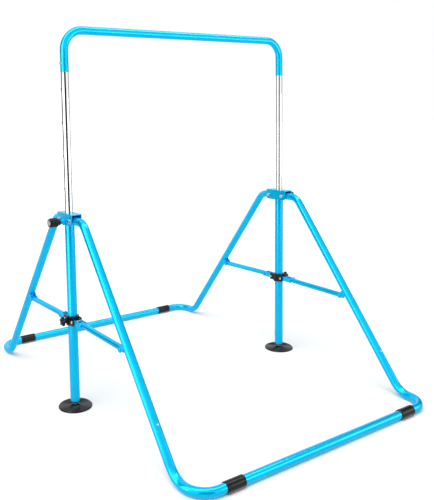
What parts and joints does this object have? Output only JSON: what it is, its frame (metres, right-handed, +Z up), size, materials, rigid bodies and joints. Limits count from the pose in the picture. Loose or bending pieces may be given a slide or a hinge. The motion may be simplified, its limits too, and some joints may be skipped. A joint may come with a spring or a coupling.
{
  "type": "kip bar",
  "caption": "Free-standing training bar: a U-shaped gripping bar on two posts that adjusts in height, with a front and a rear floor frame that fold in at the post heads.",
  "frame": {"origin": "on the floor, midway between the two posts, under the middle of the gripping bar", "axes": "+X along the gripping bar, -Y towards the front floor frame, +Z up"},
  "size_m": [1.289, 1.6678, 1.5],
  "materials": {
    "blue_paint": "gloss powder coat",
    "chrome_tube": "mirror",
    "zinc_fixings": "zinc plated",
    "black_plastic": "moulded"
  },
  "bodies": {
    "posts": {"post_left": "blue_paint", "post_right": "blue_paint", "head_bracket_left": "blue_paint", "head_bracket_right": "blue_paint", "post_bushes": "black_plastic", "pin_bosses": "blue_paint", "hinge_bolts": "zinc_fixings", "hinge_nuts": "zinc_fixings", "post_plugs": "black_plastic", "lock_nuts": "zinc_fixings"},
    "bar": {"top_bar": "blue_paint", "bar_screws": "zinc_fixings", "upright_left": "chrome_tube", "upright_right": "chrome_tube"},
    "frame_front": {"leg_upper_front_left": "blue_paint", "leg_upper_front_right": "blue_paint", "leg_lower_front_left": "blue_paint", "leg_lower_front_right": "blue_paint", "snap_buttons_front": "zinc_fixings", "base_bar_front": "blue_paint", "floor_sleeves_front": "black_plastic", "brace_lugs_front": "blue_paint", "lug_bolts_front": "blue_paint"},
    "frame_rear": {"leg_upper_rear_left": "blue_paint", "leg_upper_rear_right": "blue_paint", "leg_lower_rear_left": "blue_paint", "leg_lower_rear_right": "blue_paint", "snap_buttons_rear": "zinc_fixings", "base_bar_rear": "blue_paint", "floor_sleeves_rear": "black_plastic", "brace_lugs_rear": "blue_paint", "lug_bolts_rear": "blue_paint"},
    "collar_left": {"collar_outer_left": "black_plastic", "collar_inner_left": "black_plastic", "collar_arms_left": "blue_paint", "collar_screws_left": "zinc_fixings", "ear_screws_left": "blue_paint"},
    "brace_front_left": {"brace_front_left": "blue_paint"},
    "brace_rear_left": {"brace_rear_left": "blue_paint"},
    "clamp_knob_left": {"collar_knob_left": "black_plastic", "collar_stud_left": "zinc_fixings"},
    "height_pin_left": {"pull_pin_left": "zinc_fixings", "height_knob_left": "black_plastic"},
    "foot_left": {"foot_disc_left": "black_plastic", "foot_stem_left": "zinc_fixings"},
    "collar_right": {"collar_outer_right": "black_plastic", "collar_inner_right": "black_plastic", "collar_arms_right": "blue_paint", "collar_screws_right": "zinc_fixings", "ear_screws_right": "blue_paint"},
    "brace_front_right": {"brace_front_right": "blue_paint"},
    "brace_rear_right": {"brace_rear_right": "blue_paint"},
    "clamp_knob_right": {"collar_knob_right": "black_plastic", "collar_stud_right": "zinc_fixings"},
    "height_pin_right": {"pull_pin_right": "zinc_fixings", "height_knob_right": "black_plastic"},
    "foot_right": {"foot_disc_right": "black_plastic", "foot_stem_right": "zinc_fixings"}
  },
  "joints": [
    {"name": "bar_height", "type": "slide", "parent": "posts", "child": "bar", "axis": [0, 0, 1], "range_m": [-0.508, 0]},
    {"name": "fold_front", "type": "hinge", "parent": "posts", "child": "frame_front", "pos_m": [0, -0.044, 0.757], "axis": [1, 0, 0], "range_deg": [0, 30]},
    {"name": "fold_rear", "type": "hinge", "parent": "posts", "child": "frame_rear", "pos_m": [0, 0.044, 0.757], "axis": [-1, 0, 0], "range_deg": [0, 30]},
    {"name": "collar_slide_left", "type": "slide", "parent": "posts", "child": "collar_left", "axis": [0, 0, 1], "range_m": [0, 0.17353]},
    {"name": "brace_front_left_pivot", "type": "hinge", "parent": "frame_front", "child": "brace_front_left", "pos_m": [-0.557, -0.38774, 0.353], "axis": [1, 0, 0], "range_deg": [0, 49.31]},
    {"name": "brace_rear_left_pivot", "type": "hinge", "parent": "frame_rear", "child": "brace_rear_left", "pos_m": [-0.557, 0.38774, 0.353], "axis": [-1, 0, 0], "range_deg": [0, 49.31]},
    {"name": "clamp_knob_turn_left", "type": "hinge", "parent": "collar_left", "child": "clamp_knob_left", "pos_m": [-0.557, 0, 0.357], "axis": [-1, 0, 0], "range_deg": [0, 360]},
    {"name": "height_pin_left", "type": "slide", "parent": "posts", "child": "height_pin_left", "axis": [1, 0, 0], "range_m": [0, 0.005]},
    {"name": "foot_turn_left", "type": "hinge", "parent": "posts", "child": "foot_left", "pos_m": [-0.557, 0, 0], "axis": [0, 0, 1], "continuous": true},
    {"name": "collar_slide_right", "type": "slide", "parent": "posts", "child": "collar_right", "axis": [0, 0, 1], "range_m": [0, 0.17353]},
    {"name": "brace_front_right_pivot", "type": "hinge", "parent": "frame_front", "child": "brace_front_right", "pos_m": [0.557, -0.38774, 0.353], "axis": [1, 0, 0], "range_deg": [0, 49.31]},
    {"name": "brace_rear_right_pivot", "type": "hinge", "parent": "frame_rear", "child": "brace_rear_right", "pos_m": [0.557, 0.38774, 0.353], "axis": [-1, 0, 0], "range_deg": [0, 49.31]},
    {"name": "clamp_knob_turn_right", "type": "hinge", "parent": "collar_right", "child": "clamp_knob_right", "pos_m": [0.557, 0, 0.357], "axis": [1, 0, 0], "range_deg": [0, 360]},
    {"name": "height_pin_right", "type": "slide", "parent": "posts", "child": "height_pin_right", "axis": [-1, 0, 0], "range_m": [0, 0.005]},
    {"name": "foot_turn_right", "type": "hinge", "parent": "posts", "child": "foot_right", "pos_m": [0.557, 0, 0], "axis": [0, 0, 1], "continuous": true}
  ],
  "couplings": [
    {"joint": "fold_rear", "follows": "fold_front", "ratio": 1},
    {"joint": "collar_slide_left", "follows": "fold_front", "m_per_rad": 0.33143},
    {"joint": "brace_front_left_pivot", "follows": "fold_front", "ratio": 1.6435},
    {"joint": "brace_rear_left_pivot", "follows": "fold_front", "ratio": 1.6435},
    {"joint": "collar_slide_right", "follows": "fold_front", "m_per_rad": 0.33143},
    {"joint": "brace_front_right_pivot", "follows": "fold_front", "ratio": 1.6435},
    {"joint": "brace_rear_right_pivot", "follows": "fold_front", "ratio": 1.6435}
  ]
}
